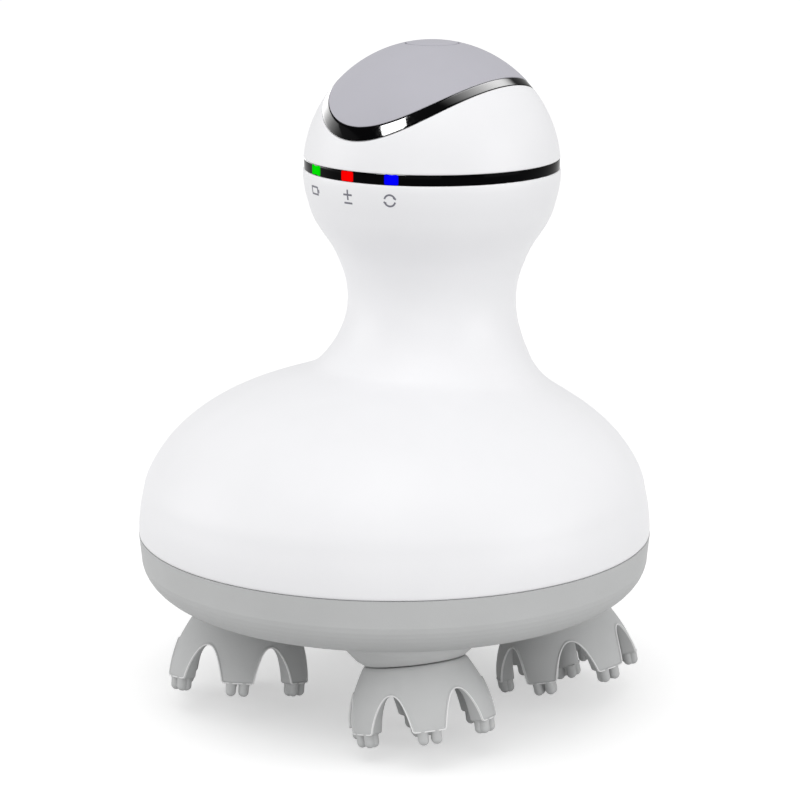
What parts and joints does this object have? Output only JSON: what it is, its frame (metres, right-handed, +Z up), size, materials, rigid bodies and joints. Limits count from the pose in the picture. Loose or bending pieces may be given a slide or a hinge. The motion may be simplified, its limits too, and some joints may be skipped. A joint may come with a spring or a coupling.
{
  "type": "cordless scalp massager",
  "caption": "Cordless scalp massager: a round body with a set-back neck and ball head, on leaning kneading claws that turn together, with a light band and a top button.",
  "frame": {"origin": "centre of the bounding box's bottom face, on the plane that the lowest claw tips stand on", "axes": "+Z up along the body's axis; the three lights, the front, face -Y; the head is set back towards +Y; +X is to the right seen from the front"},
  "size_m": [0.1062, 0.1062, 0.1363],
  "materials": {
    "shell_white": "satin white ABS",
    "base_grey": "matt light grey ABS",
    "claw_silicone": "matt grey silicone",
    "cap_grey": "soft-touch grey",
    "trim_black": "polished black",
    "window_green": "translucent, lit green",
    "window_red": "translucent, lit red",
    "window_blue": "translucent, lit blue",
    "steel": "bright zinc",
    "shaft_steel": "ground",
    "bush_brass": "turned",
    "gear_acetal": "moulded acetal",
    "inner_plastic": "moulded ABS",
    "board_green": "solder mask",
    "chip_black": "moulded epoxy",
    "led_clear": "clear epoxy",
    "cell_wrap": "shrink wrap",
    "seal_rubber": "matt",
    "wire_red": "insulation",
    "wire_black": "insulation"
  },
  "bodies": {
    "housing": {"main_shell": "shell_white", "head_shell": "shell_white", "light_band": "trim_black", "window_battery": "window_green", "window_level": "window_red", "window_mode": "window_blue", "cap_trim": "trim_black", "cap": "cap_grey", "tact_switch": "steel", "control_board": "board_green", "board_chips": "chip_black", "status_leds": "led_clear", "board_screws": "steel", "battery_cell": "cell_wrap", "battery_carrier": "inner_plastic", "battery_cover": "inner_plastic", "charge_socket": "steel", "port_grommet": "claw_silicone", "base_pan": "base_grey", "base_seal": "seal_rubber", "chassis_plate": "inner_plastic", "drive_motor": "steel", "gearbox": "steel", "gearbox_screws": "steel", "chassis_screws": "steel", "base_screws": "steel", "lower_bushes": "bush_brass", "upper_bushes": "bush_brass", "shaft_seals": "seal_rubber", "motor_leads": "wire_red", "battery_leads": "wire_black", "charge_leads": "wire_black"},
    "drive_unit": {"drive_gear": "gear_acetal", "drive_shaft": "shaft_steel"},
    "button_unit": {"power_button": "cap_grey", "tact_plunger": "chip_black"},
    "claw_unit_1": {"output_gear_1": "gear_acetal", "output_shaft_1": "shaft_steel", "hub_1": "base_grey", "hub_screw_1": "steel", "claw_1": "claw_silicone"},
    "claw_unit_2": {"output_gear_2": "gear_acetal", "output_shaft_2": "shaft_steel", "hub_2": "base_grey", "hub_screw_2": "steel", "claw_2": "claw_silicone"},
    "claw_unit_3": {"output_gear_3": "gear_acetal", "output_shaft_3": "shaft_steel", "hub_3": "base_grey", "hub_screw_3": "steel", "claw_3": "claw_silicone"},
    "claw_unit_4": {"output_gear_4": "gear_acetal", "output_shaft_4": "shaft_steel", "hub_4": "base_grey", "hub_screw_4": "steel", "claw_4": "claw_silicone"}
  },
  "joints": [
    {"name": "drive_spin", "type": "hinge", "parent": "housing", "child": "drive_unit", "pos_m": [0, 0, 0.03234], "axis": [0, 0, 1], "continuous": true},
    {"name": "claw_1_spin", "type": "hinge", "parent": "housing", "child": "claw_unit_1", "pos_m": [-0.02192, -0.02192, 0.03234], "axis": [0, 0, 1], "continuous": true},
    {"name": "claw_2_spin", "type": "hinge", "parent": "housing", "child": "claw_unit_2", "pos_m": [0.02192, -0.02192, 0.03234], "axis": [0, 0, 1], "continuous": true},
    {"name": "claw_3_spin", "type": "hinge", "parent": "housing", "child": "claw_unit_3", "pos_m": [0.02192, 0.02192, 0.03234], "axis": [0, 0, 1], "continuous": true},
    {"name": "claw_4_spin", "type": "hinge", "parent": "housing", "child": "claw_unit_4", "pos_m": [-0.02192, 0.02192, 0.03234], "axis": [0, 0, 1], "continuous": true},
    {"name": "button_press", "type": "slide", "parent": "housing", "child": "button_unit", "axis": [0, 0, -1], "range_m": [0, 0.0006], "stiffness_N_per_m": 1500, "springref_m": -0.0004}
  ],
  "couplings": [
    {"joint": "claw_1_spin", "follows": "drive_spin", "ratio": -1.8182},
    {"joint": "claw_2_spin", "follows": "drive_spin", "ratio": -1.8182},
    {"joint": "claw_3_spin", "follows": "drive_spin", "ratio": -1.8182},
    {"joint": "claw_4_spin", "follows": "drive_spin", "ratio": -1.8182}
  ]
}
